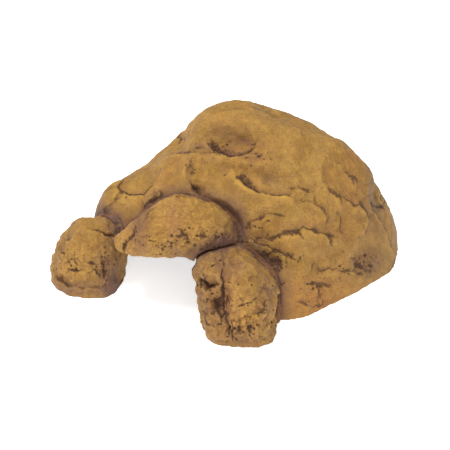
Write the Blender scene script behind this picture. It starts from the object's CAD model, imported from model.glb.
"""The looks of a resin cave ornament: each rock of the frame again, with its relief and its painted finish.

Lengths are in millimetres and become metres when a mesh is written. A place on a rock is a direction
from the middle of its node's box: degrees around, from +X towards +Y, so that the front is -90, then
degrees up. The place is where a line from outside along that direction first meets the rock's skin.
Each rock starts as an even mesh of its CAD node. Broad forms move it first, then cracks, pits and grain.
What the paint follows, such as a crack or a joint, is stored on the mesh for the material to read.
"""
import math
import random

import bpy
import numpy as np
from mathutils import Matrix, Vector
from mathutils.bvhtree import BVHTree


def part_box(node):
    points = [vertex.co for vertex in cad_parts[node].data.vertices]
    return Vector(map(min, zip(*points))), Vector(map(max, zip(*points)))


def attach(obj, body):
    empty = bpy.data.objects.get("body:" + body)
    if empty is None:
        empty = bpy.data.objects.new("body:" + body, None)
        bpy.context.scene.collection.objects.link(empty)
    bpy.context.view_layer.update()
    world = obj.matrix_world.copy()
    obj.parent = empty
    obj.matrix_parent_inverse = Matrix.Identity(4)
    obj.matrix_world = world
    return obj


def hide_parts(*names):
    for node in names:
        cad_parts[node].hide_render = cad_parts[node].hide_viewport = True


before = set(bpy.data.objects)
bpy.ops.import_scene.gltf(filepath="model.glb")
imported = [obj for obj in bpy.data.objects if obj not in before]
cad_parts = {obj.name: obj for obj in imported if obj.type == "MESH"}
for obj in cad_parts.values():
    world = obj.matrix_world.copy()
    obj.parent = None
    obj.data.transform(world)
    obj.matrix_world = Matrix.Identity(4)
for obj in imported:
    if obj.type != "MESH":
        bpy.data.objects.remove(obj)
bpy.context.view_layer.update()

MM = 0.001

# Even meshes
DOME_CELL = 1.1       # side of a mesh cell on the dome
BOULDER_CELL = 0.55
BEAD_CELL = 0.6
INSIDE_KEPT = 0.12    # share of the faces kept on the dome's inner wall

# Relief: how wide the features of each kind are, and how high or deep
SWELLING_SIZE, SWELLING = 42.0, 1.9
FOLD_SIZE, FOLD = 24.0, 1.2
KNOB_SIZE, KNOB = 12.0, 0.8
GRAIN_SIZE, GRAIN = 8.0, 0.55
PIT_SIZE, PIT_DEPTH = 2.8, 0.8
LONG_FISSURES = 34.0  # size of the net of fissures that is faint in front and full on the far side
SHORT_FISSURES = 9.0  # size of the net where the pits are
FISSURE_DEPTH = 0.8
DRAWN_IN = 0.4        # how far the whole skin goes in first, to leave room for the swellings
FAR_SIDE = (-10, 40)  # from this y to that one, scattered fissures and pits grow in
INNER_RELIEF = 0.3    # share of the swellings and of the fine relief that a dome's inner wall gets
WALL_REACH = 9.0      # a patch stays whole this far under its place, so that a wall's two sides both move
FLOOR_FADE = 5.0      # height above the floor over which a rock's fine relief fades in
TAPER = 0.22          # share of a crack's length over which each end fades out
CRACK_REACH = 8.0     # how far from a crack its relief runs
STEP_REACH = 4.0      # how much farther for each mm that the skin steps there, up to STEP_MOST
STEP_MOST = 2

# How far below or above its surroundings a spot is when the paint takes it as fully low or high
FULLY_LOW, FULLY_HIGH = 0.9, 0.8
BROAD_SHARE = 0.35    # share of the broad relief that counts in this
SURROUNDINGS = 30     # rounds of averaging over neighbours

# Seen from low in its middle, the dome's outer wall faces away and its inner wall faces back
LOW_IN_DOME = np.array([1, 1, 0.35])    # as shares of the middle of its box
DOME_SEED = 100

# Where the rocks meet, the relief fades out so that the joints stay closed
JOINT_SEARCH = 16.0   # how far out the next rock is looked for
JOINT_TOUCH = 0.5     # a gap up to this counts as closed
JOINT_FADE = 7.0
JOINT_RELIEF = 0.15   # share of the fine relief that is left in a joint
WASH_REACH = 9.0      # how far the dark wash runs out from a joint

# Beads: each point is drawn towards both rocks, and then the bead swells again, with a ripple
CORNER_PULL = 0.45    # the most of the way to a rock that a point is drawn
PULL_REACH = 8.0      # how far from the other rock it would be drawn the whole way
BEAD_SWELL, BEAD_RIPPLE, BEAD_RIPPLE_SIZE = 0.5, 0.35, 5.0
BEAD_SEED = 7

LEANING_BACK = np.array([0.0, 0.45, 0.9])    # what counts as up on a patch of skin, whichever way it faces

# The camera looks at this point, from this far, turned down by this angle
CAMERA_TARGET = (-2.5, -18, 42)
CAMERA_DISTANCE = 1000
CAMERA_ELEVATION = 30
CAMERA_LENS = 112     # for Blender's 36 mm wide sensor
CAMERA_SIGHT = 20     # how far it sees, in metres

# Lamps: name, place, side of the square in metres, power. They point at LAMP_TARGET.
LAMPS = [("key", (-330, -60, 1300), 0.6, 18.0), ("fill", (100, -1300, 600), 1.0, 8.8)]
LAMP_TARGET = (0, 0, 30)
SKY_LIGHT = 0.36
FLOOR_HALF_SIDE = 4.0 # in metres
FLOOR_GLOW = 0.66

# What each rock has on it, by node.
# rough: how high the knobs and the grain are, as a share.
# forms: (around, up, half width, half height, tilt, amount). Each is a swelling, or a hollow where the
# amount is below 0.
# cracks: (width, depth, step, places). The skin steps up on the right of the line, seen from outside.
# pits, wash and warm: patches written as forms are. Their amounts are shares: how many pits there are,
# how much dark wash stays, and how orange the paint is.
ROCKS = {
    "dome_shell": dict(
        rough=1.1,
        forms=[
            (-116, 60, 23, 13, -10, -13.0),   # the scoop under the crown
            (-114, 43, 24, 6, -8, 5.5),       # its lower lip
            (-120, 78, 32, 9, -8, 4.0),       # the crown over it
            (165, 58, 14, 12, 0, 3.0),        # crown, at its two edges
            (47, 58, 24, 16, 0, -8.0),
            (175, 32, 16, 13, 0, -6.5),       # left flank and shoulder
            (150, 31, 18, 13, 0, -5.0),
            (-178, -3, 13, 10, 0, 3.5),
            (0, 24, 18, 11, 0, 3.5),          # corner and dip on the right
            (0, -6, 18, 14, 0, -9.5),
            (-12, -28, 14, 10, 0, 4.0),       # foot at the right end
            (-27, -33, 12, 10, 0, -3.5),
            (-48, -33, 14, 10, 0, 2.0),
            (-95, 12, 26, 12, -12, 9.5),      # bulge under the wide crack
            (-80, 33, 22, 6, -18, -5.0),
            (-126, 16, 6, 7, 30, -4.5),       # notch over the lintel
            (-152, 25, 9, 14, 0, -2.5),       # valley between shoulder and crown
            (-151, 4, 9, 7, 0, 2.5),          # puffy plates on the shoulder
            (-170, -5, 9, 9, 0, 2.0),
            (-62, -8, 22, 7, -6, 3.5),        # leaf-shaped plate
            (-81, -14, 11, 9, 0, -3.0),       # hollow behind the slab
            (-24, -12, 11, 11, 0, 2.5),
            (-48, 3, 22, 12, 0, 1.8),
        ],
        cracks=[
            (1.2, 1.6, 3.0, [(-152, 55), (-138, 51), (-120, 48), (-103, 49), (-92, 55), (-84, 64)]),
            (2.6, 0.5, 0.0, [(-150, 58), (-134, 54), (-116, 52), (-100, 53), (-90, 59)]),
            (0.8, 2.2, 2.6, [(-98, 33), (-86, 26), (-75, 20), (-58, 15)]),
            (2.4, 2.2, 0.6, [(-98, 33), (-90, 28), (-79, 22)]),
            (0.6, 0.7, 0.9, [(-172, 26), (-160, 35), (-147, 41), (-137, 43)]),
            (0.4, 0.6, 0.5, [(-144, 38), (-141, 29), (-137, 20)]),
            (1.2, 2.2, 1.2, [(-134, 21), (-118, 12)]),
            (0.8, 1.2, 1.6, [(-182, 2), (-172, 0), (-165, 1), (-158, 5)]),
            (0.5, 0.8, 0.8, [(-167, -1), (-168, -8)]),
            (0.8, 1.2, 1.6, [(-153, 7), (-148, 10), (-145, 7), (-149, 3), (-154, -3)]),
            (0.6, 1.1, 1.7, [(-95, -4), (-80, -5), (-70, -1), (-57, -2), (-46, -8), (-36, -14)]),
            (0.7, 1.1, 1.1, [(-93, -6), (-81, -7), (-74, -10), (-64, -15)]),
            (2.2, 1.6, 0.6, [(-88, -10), (-80, -14), (-73, -14)]),
            (1.4, 1.2, 0.5, [(-92, -9), (-85, -15)]),
            (1.8, 1.0, 0.5, [(-82, -19), (-74, -17)]),
            (0.5, 0.8, 1.3, [(-37, 16), (-25, 1), (-15, -6), (-19, -12), (-27, -16)]),
            (0.4, 0.6, 0.8, [(-35, 3), (-34, -5), (-36, -13)]),
            (0.4, 0.5, 0.7, [(-20, 17), (-15, 9), (-19, 3)]),
            (0.4, 0.5, 0.5, [(-60, 22), (-47, 18), (-44, 12)]),
            (0.3, 0.4, 0.8, [(-58, 14), (-48, 10), (-42, 2), (-45, -6)]),
            (0.4, 0.5, 0.5, [(-90, 0), (-84, 5), (-74, 8)]),
            (0.4, 0.6, 0.4, [(-66, -22), (-56, -25), (-46, -26)]),
            (0.3, 0.5, 0.4, [(-72, -25), (-62, -29), (-52, -31)]),
            (0.4, 0.8, 0.9, [(-62, -20), (-50, -21), (-39, -24), (-30, -27), (-21, -29)]),
            (0.5, 0.6, 0.6, [(-34, -22), (-28, -25), (-30, -29)]),
            (0.5, 0.6, 1.8, [(-10, 4), (-11, -7), (-8, -16), (-8, -26)]),
        ],
        pits=[(-116, 54, 28, 8, -10, 2.0), (-95, 31, 9, 4, -30, 1.5), (-82, -12, 14, 9, -20, 2.0),
              (-88, 1, 14, 10, 0, 1.0), (-64, -14, 5, 3, 0, 1.3), (-28, -24, 22, 9, 0, 1.6),
              (-55, -24, 26, 11, 0, 0.9)],
        wash=[(-172, -12, 11, 14, 0, 0.7), (-118, 53, 24, 6, -10, 1.0), (-118, 66, 22, 7, -12, 0.5),
              (-70, 30, 14, 6, -20, 0.4),
              (-5, 0, 12, 34, 0, 0.6), (-25, -24, 20, 12, 0, 0.8), (-85, -18, 9, 16, 0, 0.5),
              (-97, 5, 7, 14, 0, 0.5)],
        warm=[(-60, -27, 34, 13, 0, 1.0), (-45, -4, 14, 10, 0, 0.5), (-105, 49, 20, 5, -6, 0.6),
              (-22, 0, 18, 26, 0, 0.6), (-110, 58, 18, 8, -8, 0.5)],
    ),
    "left_boulder": dict(
        rough=2.0,
        forms=[
            (160, 18, 9, 9, 0, -4.5),
            (-25, -30, 9, 12, 0, -3.5),
            (-100, 5, 14, 10, 0, 1.5),
            (-110, -40, 30, 4, 0, -1.2),      # the rim draws in at the floor
        ],
        cracks=[
            (0.6, 0.9, 1.2, [(-185, 30), (-162, 34), (-140, 46)]),
            (0.7, 0.9, 1.0, [(-180, 13), (-158, 8), (-142, 10)]),
            (0.35, 0.6, 1.4, [(-165, -28), (-130, -34), (-95, -35), (-60, -30)]),
            (0.7, 0.9, 0.4, [(-120, 5), (-110, -1)]),
            (0.6, 0.7, 0.3, [(-86, -1), (-72, -2)]),
            (0.5, 0.6, 0.3, [(-128, -11), (-105, -15)]),
            (0.5, 0.6, 0.4, [(-84, -18), (-74, -8), (-66, -18)]),
            (0.6, 0.8, 0.8, [(-62, 14), (-56, -4), (-62, -24)]),
            (0.6, 0.8, 1.0, [(-90, 75), (-50, 60), (-20, 35)]),
        ],
        pits=[(-105, -5, 24, 12, 0, 1.2), (-60, -5, 8, 15, 0, 1.5), (-175, 12, 8, 8, 0, 1.0)],
        wash=[(-110, -38, 32, 7, 0, 0.8), (-58, -5, 8, 16, 0, 0.5), (-185, 20, 7, 14, 0, 0.6)],
        warm=[(-90, 30, 12, 8, 0, 0.3)],
    ),
    "right_slab": dict(
        rough=3.0,
        forms=[
            (-76, 30, 12, 18, -15, 6.0),      # smooth swelling on the right
            (-158, 38, 6, 6, 0, 3.5),         # blocks on the left
            (-140, 5, 5, 9, 0, 3.2),
            (-132, 42, 4, 8, 0, 3.0),
            (-108, -25, 4, 12, 0, -2.0),
            (-122, 8, 6, 20, 0, -6.0),        # the groove between them
            (-158, 25, 8, 3, 0, -2.0),
            (-28, -30, 9, 10, 0, -4.5),
        ],
        cracks=[
            (0.9, 2.0, 1.4, [(-150, 68), (-132, 56), (-126, 35), (-124, 10), (-107, -22), (-101, -40)]),
            (0.8, 1.6, 2.2, [(-172, 26), (-152, 23), (-138, 33)]),
            (0.6, 1.2, 1.0, [(-118, 22), (-114, 0), (-110, -12)]),
            (1.6, 1.8, 0.8, [(-130, 16), (-127, -4), (-115, -16)]),
            (0.7, 0.9, 0.8, [(-92, 6), (-73, 7), (-55, 15)]),
            (0.6, 0.8, 0.9, [(-66, -8), (-50, -2), (-38, 12)]),
            (0.7, 1.1, 0.4, [(-99, -14), (-98, -38)]),
            (0.6, 0.9, 0.3, [(-88, -14), (-86, -30)]),
            (0.6, 0.8, 0.5, [(-165, 12), (-152, -18), (-136, -34)]),
            (0.5, 0.6, 0.4, [(-76, -20), (-70, -34)]),
        ],
        pits=[(-125, 0, 11, 24, 0, 1.4), (-75, -24, 18, 11, 0, 1.1), (-155, 25, 10, 14, 0, 1.4)],
        wash=[(-124, 8, 9, 30, 0, 0.6), (-140, 70, 14, 10, 0, 0.7), (-155, 10, 12, 24, 0, 0.6),
              (-35, 20, 6, 26, 0, 0.6), (-95, -38, 26, 9, 0, 0.6)],
        warm=[(-120, 10, 12, 26, 0, 1.0), (-75, -15, 14, 12, 0, 0.5)],
    ),
    "lintel_boulder": dict(
        rough=1.8,
        forms=[
            (-90, -5, 26, 7, 0, 2.5),
            (-95, -52, 34, 9, 0, -3.0),       # the underside, over the doorway
            (-90, 60, 22, 8, 0, 1.5),
            (-45, 5, 9, 8, 0, 1.5),
            (-158, 0, 5, 9, 0, -2.5),         # neck before the nub at the left end
        ],
        cracks=[
            (0.8, 1.2, 1.0, [(-164, -28), (-158, -8), (-155, 10)]),
            (0.3, 0.6, 0.6, [(-158, 20), (-160, 36), (-166, 52)]),
            (0.5, 0.7, 0.5, [(-75, 14), (-66, 8), (-70, 2)]),
            (0.5, 0.6, 0.3, [(-88, 8), (-78, 9)]),
            (0.5, 0.6, 0.5, [(-52, 8), (-40, 4)]),
        ],
        pits=[(-92, -12, 38, 7, 0, 1.7), (-72, 6, 11, 7, 0, 2.0), (-38, 5, 10, 8, 0, 1.5),
              (-140, -8, 12, 8, 0, 1.1)],
        wash=[(-90, -50, 34, 6, 0, 0.4), (-157, 14, 7, 20, 0, 0.9), (-28, -8, 9, 10, 0, 0.6)],
        warm=[(-150, 0, 14, 12, 0, 0.8), (-100, 30, 20, 10, 0, 0.5)],
    ),
}

# The dome's far side has cracks too, which wander: this many, from a seeded draw
BACK_CRACKS = 16
BACK_SEED = 41


def mixed(seed):
    """A 32-bit number from a seed, well away from those of other seeds."""
    return np.uint32((seed * 0x27D4EB2F + 0x165667B1) & 0xFFFFFFFF)


def scattered(cells, seed):
    """Three even random numbers from 0 to 1 for each whole-number cell."""
    x, y, z = cells.astype(np.int64).astype(np.uint32).T
    state = x * np.uint32(0x9E3779B1) ^ y * np.uint32(0x85EBCA77) ^ z * np.uint32(0xC2B2AE3D) ^ mixed(seed)
    found = []
    for _ in range(3):
        state = (state ^ (state >> np.uint32(15))) * np.uint32(0x2C1B3C6D)
        state = (state ^ (state >> np.uint32(12))) * np.uint32(0x297A2D39)
        state = state ^ (state >> np.uint32(15))
        found.append(state / 2.0 ** 32)
    return np.stack(found, axis=1)


def noise(points, size, seed):
    """Smooth noise from about -1 to 1, with forms about size across."""
    place = points / size
    cell = np.floor(place)
    rest = place - cell
    fade = rest ** 3 * (rest * (rest * 6 - 15) + 10)
    total = np.zeros(len(points))
    for corner in np.ndindex(2, 2, 2):
        weight = np.where(corner, fade, 1 - fade).prod(axis=1)
        slope = scattered(cell + corner, seed) * 2 - 1
        total += weight * (slope * (rest - corner)).sum(axis=1)
    return total * 1.6


def layered(points, size, layers, seed):
    """Noise with finer and finer layers, each half as high as the last."""
    return sum(noise(points, size / 2 ** i, seed + i) / 2 ** i for i in range(layers))


def warped(points, reach, size, seed):
    """The points moved about by smooth noise, so that what is drawn on them wanders."""
    return points + reach * np.stack([noise(points, size, seed + i) for i in range(3)], axis=1)


def pitted(points, size, share, seed):
    """How deep each point lies in a scatter of round pits: 1 at the bottom of one, 0 outside them."""
    place = points / size
    cell = np.floor(place)
    deepest = np.zeros(len(points))
    for step in np.ndindex(3, 3, 3):
        near = cell + step - 1
        middle = near + scattered(near, seed)
        chance, radius, _ = scattered(near, seed + 1).T
        away = np.linalg.norm(middle - place, axis=1)
        deep = (1 - (away / (0.18 + 0.3 * radius)) ** 2).clip(0, 1)
        deepest = np.maximum(deepest, np.where(chance < share, deep, 0))
    return deepest


def smooth_step(low, high, values):
    t = ((values - low) / (high - low)).clip(0, 1)
    return t * t * (3 - 2 * t)


class Skin:
    """Finds places on a node's skin."""

    def __init__(self, node):
        low, high = (np.array(corner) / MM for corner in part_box(node))
        self.middle = (low + high) / 2
        self.reach = np.linalg.norm(high - low)
        self.tree = tree_of(node)

    def place(self, around, up):
        """The point in this direction from the middle, and the way the skin faces there."""
        turn, rise = math.radians(around), math.radians(up)
        away = np.array([math.cos(turn) * math.cos(rise), math.sin(turn) * math.cos(rise), math.sin(rise)])
        start = (self.middle + away * self.reach) * MM
        hit = self.tree.ray_cast(Vector(start), Vector(-away))
        return np.array(hit[0]) / MM, np.array(hit[1])

    def line(self, places):
        """A line on the skin that rounds the corners of these places."""
        return np.array([self.place(*direction)[0] for direction in rounded(places)])

    def patch(self, points, row):
        """How much of a patch each point has, from 1 to 0, and the way the skin faces in its middle."""
        around, up, half_width, half_height, tilt, _ = row
        middle, out = self.place(around, up)
        high = LEANING_BACK - (LEANING_BACK @ out) * out
        high /= np.linalg.norm(high)
        wide = np.cross(high, out)
        turn = math.radians(tilt)
        turned_wide = math.cos(turn) * wide + math.sin(turn) * high
        turned_high = math.cos(turn) * high - math.sin(turn) * wide
        offset = points - middle
        beyond = (np.abs(offset @ out) - WALL_REACH).clip(0)
        across = (offset @ turned_wide / half_width) ** 2
        along = (offset @ turned_high / half_height) ** 2
        through = (beyond / max(half_width, half_height)) ** 2
        return np.exp(-(across + along + through)), out

    def moved(self, points, rows):
        """How far the forms move each point. Both sides of a wall move, so no hollow breaks through."""
        total = np.zeros_like(points)
        for row in rows:
            share, out = self.patch(points, row)
            total += row[-1] * share[:, None] * out
        return total

    def covered(self, points, rows):
        """The most that any of these patches gives each point."""
        most = np.zeros(len(points))
        for row in rows:
            most = np.maximum(most, row[-1] * self.patch(points, row)[0])
        return most


def rounded(line, times=3):
    """A line of points with its corners cut."""
    line = np.array(line, float)
    for _ in range(times):
        ahead = line[:-1] * 0.75 + line[1:] * 0.25
        behind = line[:-1] * 0.25 + line[1:] * 0.75
        between = np.stack([ahead, behind], axis=1).reshape(-1, line.shape[1])
        line = np.vstack([line[:1], between, line[-1:]])
    return line


def wandering(count, seed):
    """Cracks for the far side, each of a few places that drift on in one direction."""
    draw = random.Random(seed)
    rows = []
    for _ in range(count):
        around, up = draw.uniform(10, 175), draw.uniform(-25, 50)
        heading = draw.uniform(0, 2 * math.pi)
        places = []
        for _ in range(draw.randint(3, 5)):
            places.append((around, up))
            heading += draw.uniform(-0.7, 0.7)
            around += 9 * math.cos(heading)
            up = min(60, max(-28, up + 8 * math.sin(heading)))
        width = draw.uniform(0.4, 1.0)
        rows.append((width, 1.4 * width, draw.uniform(0.5, 2.0), places))
    return rows


def branches(rows, seed):
    """Short thin offshoots from each of these cracks."""
    draw = random.Random(seed)
    found = []
    for width, depth, step, places in rows:
        for (around, up), (next_around, next_up) in zip(places[:-1], places[1:]):
            squeeze = max(0.3, math.cos(math.radians(up)))
            heading = math.atan2(next_up - up, (next_around - around) * squeeze)
            heading += draw.choice((-1, 1)) * draw.uniform(0.4, 1.1)
            share, length = draw.random(), draw.uniform(2.5, 6.0)
            start = (around + share * (next_around - around), up + share * (next_up - up))
            end = (start[0] + length * math.cos(heading) / squeeze, start[1] + length * math.sin(heading))
            found.append((0.6 * width, 0.4 * depth, 0.3 * step, [start, end]))
    return found


def beside(points, normals, line, reach):
    """How far along the skin each point is from the line, on which side, and how far down the line, and
    the line's length. A point out of reach gets a large distance."""
    out_of_reach = reach * 9.0
    distance = np.full(len(points), out_of_reach)
    side = np.ones(len(points))
    run = np.zeros(len(points))
    close = np.flatnonzero(((points > line.min(0) - reach) & (points < line.max(0) + reach)).all(axis=1))
    p, n = points[close], normals[close]
    best, best_side, best_run = distance[close], side[close], run[close]
    lengths = np.linalg.norm(np.diff(line, axis=0), axis=1)
    start = 0.0
    for a, b, length in zip(line[:-1], line[1:], lengths):
        t = ((p - a) @ (b - a) / length ** 2).clip(0, 1)
        away = p - (a + t[:, None] * (b - a))
        off = (away * n).sum(axis=1)
        flat = np.linalg.norm(away - off[:, None] * n, axis=1)
        flat = np.where(np.abs(off) < reach, flat, out_of_reach)
        nearer = flat < best
        best = np.where(nearer, flat, best)
        best_side = np.where(nearer, np.sign((np.cross(b - a, away) * n).sum(axis=1)), best_side)
        best_run = np.where(nearer, start + t * length, best_run)
        start += length
    distance[close], side[close], run[close] = best, best_side, best_run
    return distance, side, run, lengths.sum()


def cracked(points, normals, skin, rows, cell, seed):
    """The height of the relief along the cracks, and for the paint: the distance from the nearest crack,
    signed by its side, how strong the crack is there, and how wide."""
    height = np.zeros(len(points))
    line = np.full(len(points), 9.0)
    strong = np.zeros(len(points))
    wide = np.full(len(points), 0.5)
    wander = warped(warped(points, 1.8, 7.0, seed), 0.7, 2.4, seed + 9)
    patchy = noise(points, 7.0, seed + 5)
    for width, depth, step, places in rows:
        reach = CRACK_REACH + STEP_REACH * min(step, STEP_MOST)
        distance, side, run, length = beside(wander, normals, skin.line(places), reach)
        taper = smooth_step(-2, TAPER * length, run) * smooth_step(-2, TAPER * length, length - run)
        uneven = (0.65 + 1.2 * patchy).clip(0.8 * min(1, width), 1.3)
        cut = taper * uneven * np.exp(-(distance / max(width, 0.9 * cell)) ** 2) * min(1, width / cell)
        across = side * (1 - np.exp(-(distance / (1.2 * cell)) ** 2))
        height += -0.5 * step * taper * across * np.exp(-(2 * distance / reach) ** 2) - depth * cut
        here = taper * uneven * np.exp(-(distance / (1.5 + 1.5 * width)) ** 2)
        nearer = here > strong
        line = np.where(nearer, distance * side, line)
        wide = np.where(nearer, width * (0.4 + 0.6 * taper), wide)
        strong = np.maximum(strong, here)
    return height, line, strong, wide


def fissures(points, size, seed):
    """A net of fine fissures that come and go: how deep each point lies in one."""
    path = warped(points, size * 0.25, size * 0.6, seed)
    valley = np.exp(-(noise(path, size, seed + 3) / 0.035) ** 2)
    return valley * smooth_step(0.0, 0.35, noise(points, size * 1.3, seed + 4))


def averaged(values, edges, times):
    """Each value mixed with its neighbours', over and over."""
    count = len(values)
    degree = np.bincount(edges.ravel(), minlength=count).clip(1)
    for _ in range(times):
        total = np.bincount(edges[:, 0], values[edges[:, 1]], count)
        total += np.bincount(edges[:, 1], values[edges[:, 0]], count)
        values = 0.5 * values + 0.5 * total / degree
    return values


def column(items, field, width, kind=np.float32):
    found = np.empty(len(items) * width, kind)
    items.foreach_get(field, found)
    return found.reshape(-1, width) if width > 1 else found


def points_of(mesh):
    return column(mesh.vertices, "co", 3).astype(float) / MM


def normals_of(mesh):
    return column(mesh.vertex_normals, "vector", 3).astype(float)


def edges_of(mesh):
    return column(mesh.edges, "vertices", 2, np.int32)


def move_to(mesh, points):
    """Writes the points back, none of them under the floor."""
    points[:, 2] = points[:, 2].clip(0)
    mesh.vertices.foreach_set("co", (points * MM).astype(np.float32).ravel())
    mesh.update()


def shade_smooth(mesh):
    for face in mesh.polygons:
        face.use_smooth = True


def store(mesh, name, values):
    """Keeps one number per point on the mesh, for the paint."""
    mesh.attributes.new(name, "FLOAT", "POINT").data.foreach_set("value", values.astype(np.float32))


def baked(piece):
    """The piece's mesh with its modifiers applied."""
    shown = piece.evaluated_get(bpy.context.evaluated_depsgraph_get())
    mesh = bpy.data.meshes.new_from_object(shown)
    piece.modifiers.clear()
    piece.data = mesh
    return mesh


def even_copy(node, name, cell):
    """A new piece with the shape of a CAD node, in an even mesh."""
    piece = bpy.data.objects.new(name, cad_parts[node].data.copy())
    bpy.context.scene.collection.objects.link(piece)
    even = piece.modifiers.new("even", "REMESH")
    even.mode = "VOXEL"
    even.voxel_size = cell * MM
    baked(piece)
    piece.data.materials.clear()
    return piece


def tree_of(node):
    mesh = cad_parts[node].data
    mesh.calc_loop_triangles()
    triangles = column(mesh.loop_triangles, "vertices", 3, np.int32)
    return BVHTree.FromPolygons([v.co for v in mesh.vertices], triangles.tolist())


def nearness(points, nodes, reach):
    """How far each point is from the nearest of these nodes, up to reach."""
    trees = [tree_of(node) for node in nodes]
    found = np.full(len(points), reach)
    for i, point in enumerate(points * MM):
        for tree in trees:
            hit = tree.find_nearest(Vector(point), reach * MM)
            if hit[3] is not None:
                found[i] = min(found[i], hit[3] / MM)
    return found


def sculpted(piece, node, cell, cracks, others, seed, outside=None):
    """Gives a rock its relief, and stores what the paint follows. outside is 0 on a dome's inner wall."""
    mesh, skin, marks = piece.data, Skin(node), ROCKS[node]
    rest, normals, edges = points_of(mesh), normals_of(mesh), edges_of(mesh)
    relief, line, strong, wide = cracked(rest, normals, skin, cracks, cell, seed + 30)
    share = skin.covered(rest, marks["pits"])
    washed, warm = skin.covered(rest, marks["wash"]), skin.covered(rest, marks["warm"])
    points = rest.copy()
    outside = np.ones(len(points)) if outside is None else outside
    gap = nearness(points, others, JOINT_SEARCH)
    free = smooth_step(JOINT_TOUCH, JOINT_FADE, gap)
    sided = INNER_RELIEF + (1 - INNER_RELIEF) * outside
    broad = SWELLING * layered(warped(points, 5.0, 30.0, seed), SWELLING_SIZE, 2, seed + 1) * sided
    broad += FOLD * np.abs(noise(warped(points, 6.0, 20.0, seed + 20), FOLD_SIZE, seed + 21))
    knobs = np.abs(noise(warped(points, 4.0, 9.0, seed + 24), KNOB_SIZE, seed + 25))
    broad += KNOB * marks["rough"] * knobs * outside
    lifted = normals * (broad - DRAWN_IN)[:, None]
    points += free[:, None] * (lifted + skin.moved(points, marks["forms"]))
    move_to(mesh, points)

    points, normals = points_of(mesh), normals_of(mesh)
    hidden = smooth_step(*FAR_SIDE, points[:, 1])
    net = fissures(points, LONG_FISSURES, seed + 40) * (0.25 + 0.75 * hidden)
    net = np.maximum(net, fissures(points, SHORT_FISSURES, seed + 44) * share.clip(0, 1))
    share += 0.02 + 0.12 * hidden
    shaken = warped(points, 0.9, 2.2, seed + 55)
    holes = pitted(shaken, PIT_SIZE, 0.4 * share, seed + 50)
    grain = GRAIN * marks["rough"] * layered(warped(points, 1.5, 5.0, seed + 57), GRAIN_SIZE, 3, seed + 60)
    fine = relief - FISSURE_DEPTH * net - PIT_DEPTH * holes + grain
    fine *= (JOINT_RELIEF + (1 - JOINT_RELIEF) * free) * sided
    fine *= 0.25 + 0.75 * smooth_step(0.5, FLOOR_FADE, points[:, 2])
    points += normals * fine[:, None]
    move_to(mesh, points)

    total = fine + BROAD_SHARE * free * broad
    hollow = averaged(total, edges, SURROUNDINGS) - total
    store(mesh, "line", line)
    store(mesh, "strong", strong * outside)
    store(mesh, "wide", wide)
    store(mesh, "net", net * outside)
    store(mesh, "pit", holes * outside)
    store(mesh, "pitting", share * outside)
    store(mesh, "hollow", (averaged(hollow, edges, 2) / FULLY_LOW).clip(0, 1))
    store(mesh, "raised", (-averaged(hollow, edges, 1) / FULLY_HIGH).clip(0, 1))
    store(mesh, "joint", np.exp(-(gap / WASH_REACH) ** 2))
    store(mesh, "washed", washed)
    store(mesh, "warm", warm)
    store(mesh, "outside", averaged(outside, edges, 3))
    shade_smooth(mesh)


def thinned(piece, keep, share):
    """Fewer faces where keep is 0."""
    group = piece.vertex_groups.new(name="thin")
    for i in np.flatnonzero(keep < 0.5).tolist():
        group.add([i], 1.0, "REPLACE")
    thin = piece.modifiers.new("thin", "DECIMATE")
    loose = float((keep < 0.5).mean())
    thin.ratio = 1 - loose * (1 - share)
    thin.vertex_group = "thin"
    baked(piece)
    piece.vertex_groups.clear()


def shown_as(piece, node, material):
    """Puts a finished piece in the frame in place of a node."""
    piece.data.materials.append(material)
    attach(piece, "root")
    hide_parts(node)


def filleted(piece, first, second):
    """Draws a bead's outer corner in, so that it runs smoothly from one rock to the other."""
    mesh = piece.data
    points = points_of(mesh)
    trees = [tree_of(first), tree_of(second)]
    moved = points.copy()
    for i, point in enumerate(points * MM):
        hits = [tree.find_nearest(Vector(point)) for tree in trees]
        gaps = [hit[3] / MM for hit in hits]
        for hit, other in ((hits[0], gaps[1]), (hits[1], gaps[0])):
            back = np.array(hit[0] - Vector(point)) / MM
            moved[i] += back * min(CORNER_PULL, other / PULL_REACH)
    edges = edges_of(mesh)
    for axis in range(3):
        moved[:, axis] = averaged(moved[:, axis], edges, 6)
    move_to(mesh, moved)
    swell = BEAD_SWELL + BEAD_RIPPLE * layered(moved, BEAD_RIPPLE_SIZE, 3, BEAD_SEED)
    move_to(mesh, moved + normals_of(mesh) * swell[:, None])
    shade_smooth(mesh)


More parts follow.
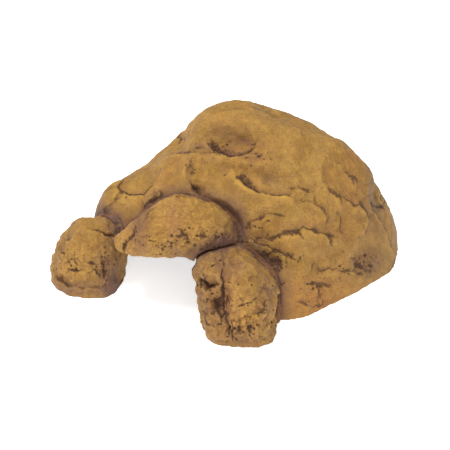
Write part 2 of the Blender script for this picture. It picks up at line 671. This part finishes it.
class Graph:
    """A short way to write a material's nodes."""

    def __init__(self, name):
        self.material = bpy.data.materials.new(name)
        self.material.use_nodes = True
        self.tree = self.material.node_tree
        self.shader = self.tree.nodes["Principled BSDF"]
        place = self.tree.nodes.new("ShaderNodeTexCoord").outputs["Object"]
        scale = self.tree.nodes.new("ShaderNodeVectorMath")
        scale.operation = "SCALE"
        scale.inputs["Scale"].default_value = 1 / MM
        self.tree.links.new(place, scale.inputs[0])
        self.place = scale.outputs["Vector"]

    def put(self, value, socket):
        if isinstance(value, bpy.types.NodeSocket):
            self.tree.links.new(value, socket)
        else:
            socket.default_value = value

    def mask(self, name):
        node = self.tree.nodes.new("ShaderNodeAttribute")
        node.attribute_name = name
        return node.outputs["Fac"]

    def math(self, operation, first, second=0.0):
        node = self.tree.nodes.new("ShaderNodeMath")
        node.operation = operation
        self.put(first, node.inputs[0])
        self.put(second, node.inputs[1])
        return node.outputs[0]

    def times(self, first, second):
        return self.math("MULTIPLY", first, second)

    def plus(self, first, second):
        return self.math("ADD", first, second)

    def step(self, value, low, high):
        node = self.tree.nodes.new("ShaderNodeMapRange")
        node.interpolation_type = "SMOOTHSTEP"
        self.put(value, node.inputs["Value"])
        node.inputs["From Min"].default_value = low
        node.inputs["From Max"].default_value = high
        return node.outputs["Result"]

    def noise(self, size, detail=3.0, rough=0.55, warp=0.0, stretch=(1, 1, 1)):
        place = self.place
        if stretch != (1, 1, 1):
            node = self.tree.nodes.new("ShaderNodeVectorMath")
            node.operation = "MULTIPLY"
            self.put(place, node.inputs[0])
            node.inputs[1].default_value = stretch
            place = node.outputs["Vector"]
        node = self.tree.nodes.new("ShaderNodeTexNoise")
        self.put(place, node.inputs["Vector"])
        node.inputs["Scale"].default_value = 1 / size
        node.inputs["Detail"].default_value = detail
        node.inputs["Roughness"].default_value = rough
        node.inputs["Distortion"].default_value = warp
        return node.outputs["Fac"]

    def spots(self, size, shake):
        """How far the nearest of a scatter of points is, and a random number for that point."""
        node = self.tree.nodes.new("ShaderNodeTexVoronoi")
        shift = self.tree.nodes.new("ShaderNodeTexNoise")
        self.put(self.place, shift.inputs["Vector"])
        shift.inputs["Scale"].default_value = 0.8 / size
        moved = self.tree.nodes.new("ShaderNodeVectorMath")
        moved.operation = "MULTIPLY_ADD"
        self.put(shift.outputs["Color"], moved.inputs[0])
        moved.inputs[1].default_value = (shake, shake, shake)
        self.put(self.place, moved.inputs[2])
        self.put(moved.outputs["Vector"], node.inputs["Vector"])
        node.inputs["Scale"].default_value = 1 / size
        split = self.tree.nodes.new("ShaderNodeSeparateColor")
        self.put(node.outputs["Color"], split.inputs[0])
        return node.outputs["Distance"], split.outputs[0]

    def blend(self, share, first, second):
        node = self.tree.nodes.new("ShaderNodeMix")
        node.data_type = "RGBA"
        self.put(share, node.inputs["Factor"])
        self.put(first, node.inputs["A"])
        self.put(second, node.inputs["B"])
        return node.outputs["Result"]

    def bump(self, height, depth, under=None):
        node = self.tree.nodes.new("ShaderNodeBump")
        node.inputs["Distance"].default_value = depth * MM
        self.put(height, node.inputs["Height"])
        if under:
            self.put(under, node.inputs["Normal"])
        return node.outputs["Normal"]


def paint(red, green, blue):
    """A colour as it looks on a screen, turned into the shader's linear values."""
    linear = [c / 12.92 if c <= 0.04045 else ((c + 0.055) / 1.055) ** 2.4 for c in (red, green, blue)]
    return linear + [1.0]


OCHRE = paint(0.69, 0.52, 0.25)
PALE_OCHRE = paint(0.76, 0.60, 0.32)
BRIGHT_OCHRE = paint(0.80, 0.62, 0.28)
DEEP_OCHRE = paint(0.60, 0.44, 0.18)
ORANGE = paint(0.68, 0.44, 0.22)
UMBER = paint(0.52, 0.37, 0.17)
PURPLE_BROWN = paint(0.42, 0.30, 0.26)
RUST_BROWN = paint(0.44, 0.28, 0.17)
CRACK_BROWN = paint(0.25, 0.16, 0.11)
BARE_RESIN = paint(0.36, 0.26, 0.19)


def painted_stone(name, wash=0.0, brushed=0.0):
    """Ochre paint over stone-textured resin. A dark wash stays in what is low, and what is high is brushed
    with a bright ochre. wash and brushed are how much more of each this rock gets."""
    g = Graph(name)
    cloudy = g.noise(34, 3, 0.6, 1.2)
    patchy = g.noise(11, 4, 0.65, 0.8)
    speckle = g.noise(1.3, 3, 0.75)
    streaks = g.noise(9, 3, 0.6, 1.5, (1, 1, 0.35))
    colour = g.blend(g.step(cloudy, 0.38, 0.66), DEEP_OCHRE, OCHRE)
    colour = g.blend(g.times(g.step(patchy, 0.45, 0.75), 0.5), colour, PALE_OCHRE)
    orange = g.plus(g.times(g.step(g.noise(26, 2, 0.5, 0.9), 0.50, 0.70), 0.5), g.mask("warm"))
    colour = g.blend(g.times(orange, g.plus(g.times(streaks, 0.7), 0.2)), colour, ORANGE)

    off_line = g.plus(g.mask("line"), g.times(g.plus(g.noise(1.8, 3, 0.75), -0.5), 2.6))
    thick = g.times(g.mask("wide"), g.plus(g.times(g.noise(3.4, 3, 0.75), 3.6), -1.15))
    inside_line = g.plus(thick, g.times(g.math("ABSOLUTE", off_line), -1.0))
    crack = g.times(g.step(inside_line, -0.12, 0.25), g.step(g.mask("strong"), 0.12, 0.45))
    crumbled = g.step(g.noise(1.7, 3, 0.7), 0.40, 0.54)
    solid = g.step(g.mask("wide"), 2.0, 0.9)
    crack = g.times(crack, g.plus(0.25, g.times(g.math("MAXIMUM", crumbled, solid), 0.75)))
    net = g.step(g.plus(g.mask("net"), g.times(g.plus(speckle, -0.5), 1.1)), 0.55, 1.0)
    pit = g.step(g.plus(g.mask("pit"), g.times(g.plus(speckle, -0.5), 0.9)), 0.25, 0.7)
    distance, chance = g.spots(2.2, 1.6)
    sparse = g.step(g.noise(7.0, 2, 0.5), 0.34, 0.6)
    largest = g.plus(g.times(g.times(chance, chance), 0.62), 0.02)
    reach = g.times(g.times(g.mask("pitting"), sparse), largest)
    fleck = g.step(g.plus(reach, g.times(distance, -1.0)), 0.0, 0.1)
    crumbs = g.step(g.plus(g.times(g.mask("strong"), 0.5), g.noise(1.3, 2, 0.8)), 0.86, 0.98)
    lines, holes = g.math("MAXIMUM", crack, g.times(net, 0.5)), g.math("MAXIMUM", pit, fleck)
    dark = g.math("MAXIMUM", lines, holes)
    dark = g.math("MAXIMUM", dark, g.times(crumbs, 0.7))

    stained = g.plus(g.mask("washed"), g.times(g.step(streaks, 0.55, 0.8), 0.16 + wash))
    stained = g.times(stained, g.plus(g.times(patchy, 1.2), 0.1))
    coarser = g.step(g.noise(3.0, 4, 0.8, 1.4), 0.53, 0.68)
    grime = g.plus(g.times(g.step(speckle, 0.49, 0.64), 0.7), g.times(coarser, 0.2))
    colour = g.blend(grime, colour, UMBER)
    flakes = g.step(g.noise(2.0, 4, 0.75, 1.0), 0.52, 0.70)
    bright = g.plus(g.times(g.mask("raised"), 0.75), g.times(flakes, 0.45 + brushed))
    colour = g.blend(bright, colour, BRIGHT_OCHRE)
    low = g.plus(g.times(g.mask("hollow"), 0.55), stained)
    low = g.plus(low, g.times(g.mask("joint"), g.plus(g.times(patchy, 0.9), 0.4)))
    colour = g.blend(g.math("MINIMUM", low, 0.9), colour, PURPLE_BROWN)
    beside_cracks = g.step(g.mask("strong"), 0.2, 1.1)
    colour = g.blend(g.times(beside_cracks, g.plus(g.times(speckle, 0.8), 0.1)), colour, RUST_BROWN)
    colour = g.blend(g.times(dark, 0.82), colour, CRACK_BROWN)
    inner = g.blend(g.times(patchy, 0.6), BARE_RESIN, PURPLE_BROWN)
    colour = g.blend(g.step(g.mask("outside"), 0.25, 0.75), inner, colour)
    g.put(colour, g.shader.inputs["Base Color"])
    g.put(g.plus(g.times(patchy, 0.22), 0.5), g.shader.inputs["Roughness"])
    g.shader.inputs["Specular IOR Level"].default_value = 0.3
    fine = g.bump(g.plus(g.noise(1.1, 4, 0.7), g.noise(4.5, 3, 0.6)), 1.4)
    g.put(g.bump(dark, -0.4, fine), g.shader.inputs["Normal"])
    return g.material


def painted_paste(name):
    """The beads: the same wash, thick and dark."""
    g = Graph(name)
    patchy = g.noise(7, 4, 0.65, 0.8)
    colour = g.blend(g.step(patchy, 0.35, 0.7), CRACK_BROWN, PURPLE_BROWN)
    colour = g.blend(g.times(g.step(g.noise(3.2, 3, 0.6), 0.5, 0.75), 0.45), colour, DEEP_OCHRE)
    colour = g.blend(g.times(g.step(g.noise(12, 3, 0.6, 0.8), 0.46, 0.66), 0.28), colour, ORANGE)
    g.put(colour, g.shader.inputs["Base Color"])
    g.put(g.plus(g.times(patchy, 0.2), 0.5), g.shader.inputs["Roughness"])
    g.shader.inputs["Specular IOR Level"].default_value = 0.3
    g.put(g.bump(g.noise(1.4, 4, 0.7), 0.4), g.shader.inputs["Normal"])
    return g.material


def make_rocks():
    boulders = ["left_boulder", "right_slab", "lintel_boulder"]
    dome = even_copy("dome_shell", "dome_rock", DOME_CELL)
    points, normals = points_of(dome.data), normals_of(dome.data)
    low, high = (np.array(corner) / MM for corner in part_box("dome_shell"))
    away = points - (low + high) / 2 * LOW_IN_DOME
    outside = averaged(((normals * away).sum(axis=1) > 0).astype(float), edges_of(dome.data), 3)
    cracks = ROCKS["dome_shell"]["cracks"] + wandering(BACK_CRACKS, BACK_SEED)
    cracks = cracks + branches(cracks, BACK_SEED)
    sculpted(dome, "dome_shell", DOME_CELL, cracks, boulders, DOME_SEED, outside)
    thinned(dome, outside, INSIDE_KEPT)
    shown_as(dome, "dome_shell", painted_stone("dome_paint"))

    rows = [("left_boulder", "left_rock", 200, 0.15, 0.1), ("right_slab", "slab_rock", 300, 0.2, 0.0),
            ("lintel_boulder", "lintel_rock", 400, 0.0, 0.5)]
    for node, name, seed, wash, brushed in rows:
        rock = even_copy(node, name, BOULDER_CELL)
        others = ["dome_shell"] + [other for other in boulders if other != node]
        cracks = ROCKS[node]["cracks"]
        sculpted(rock, node, BOULDER_CELL, cracks + branches(cracks, seed), others, seed)
        shown_as(rock, node, painted_stone(name.replace("rock", "paint"), wash, brushed))


def make_beads():
    paste = painted_paste("paste_paint")
    rows = [("bead_left_to_dome", "left_boulder", "dome_shell"),
            ("bead_slab_to_dome", "right_slab", "dome_shell"),
            ("bead_lintel_to_dome", "lintel_boulder", "dome_shell"),
            ("bead_lintel_to_left", "lintel_boulder", "left_boulder"),
            ("bead_lintel_to_slab", "lintel_boulder", "right_slab")]
    for node, first, second in rows:
        bead = even_copy(node, node.replace("bead", "paste"), BEAD_CELL)
        filleted(bead, first, second)
        shown_as(bead, node, paste)


def make_stage():
    """A pale floor that glows a little, as a light table does."""
    side = FLOOR_HALF_SIDE
    corners = [(-side, -side, 0), (side, -side, 0), (side, side, 0), (-side, side, 0)]
    mesh = bpy.data.meshes.new("floor")
    mesh.from_pydata(corners, [], [(0, 1, 2, 3)])
    floor = bpy.data.objects.new("floor", mesh)
    bpy.context.scene.collection.objects.link(floor)
    material = bpy.data.materials.new("floor_white")
    material.use_nodes = True
    shader = material.node_tree.nodes["Principled BSDF"]
    shader.inputs["Base Color"].default_value = (0.85, 0.85, 0.85, 1)
    shader.inputs["Roughness"].default_value = 0.9
    shader.inputs["Emission Color"].default_value = (1, 1, 1, 1)
    shader.inputs["Emission Strength"].default_value = FLOOR_GLOW
    mesh.materials.append(material)


def aim(thing, place, target):
    thing.location = Vector(place) * MM
    thing.rotation_euler = (Vector(target) - Vector(place)).to_track_quat("-Z", "Y").to_euler()


def soft_light(name, place, size, power):
    light = bpy.data.lights.new(name, "AREA")
    light.shape = "SQUARE"
    light.size = size
    light.energy = power
    lamp = bpy.data.objects.new(name, light)
    bpy.context.scene.collection.objects.link(lamp)
    aim(lamp, place, LAMP_TARGET)


def make_light_and_camera():
    world = bpy.data.worlds.new("studio")
    world.use_nodes = True
    sky = world.node_tree.nodes["Background"]
    sky.inputs["Color"].default_value = (1, 1, 1, 1)
    sky.inputs["Strength"].default_value = SKY_LIGHT
    bpy.context.scene.world = world
    for lamp in LAMPS:
        soft_light(*lamp)
    camera = bpy.data.objects.new("camera", bpy.data.cameras.new("camera"))
    bpy.context.scene.collection.objects.link(camera)
    camera.data.lens = CAMERA_LENS
    turn = math.radians(CAMERA_ELEVATION)
    back = Vector((0, -math.cos(turn), math.sin(turn))) * CAMERA_DISTANCE
    aim(camera, Vector(CAMERA_TARGET) + back, CAMERA_TARGET)
    camera.data.clip_end = CAMERA_SIGHT
    bpy.context.scene.camera = camera
    bpy.context.scene.view_settings.view_transform = "Standard"


make_rocks()
make_beads()
make_stage()
make_light_and_camera()
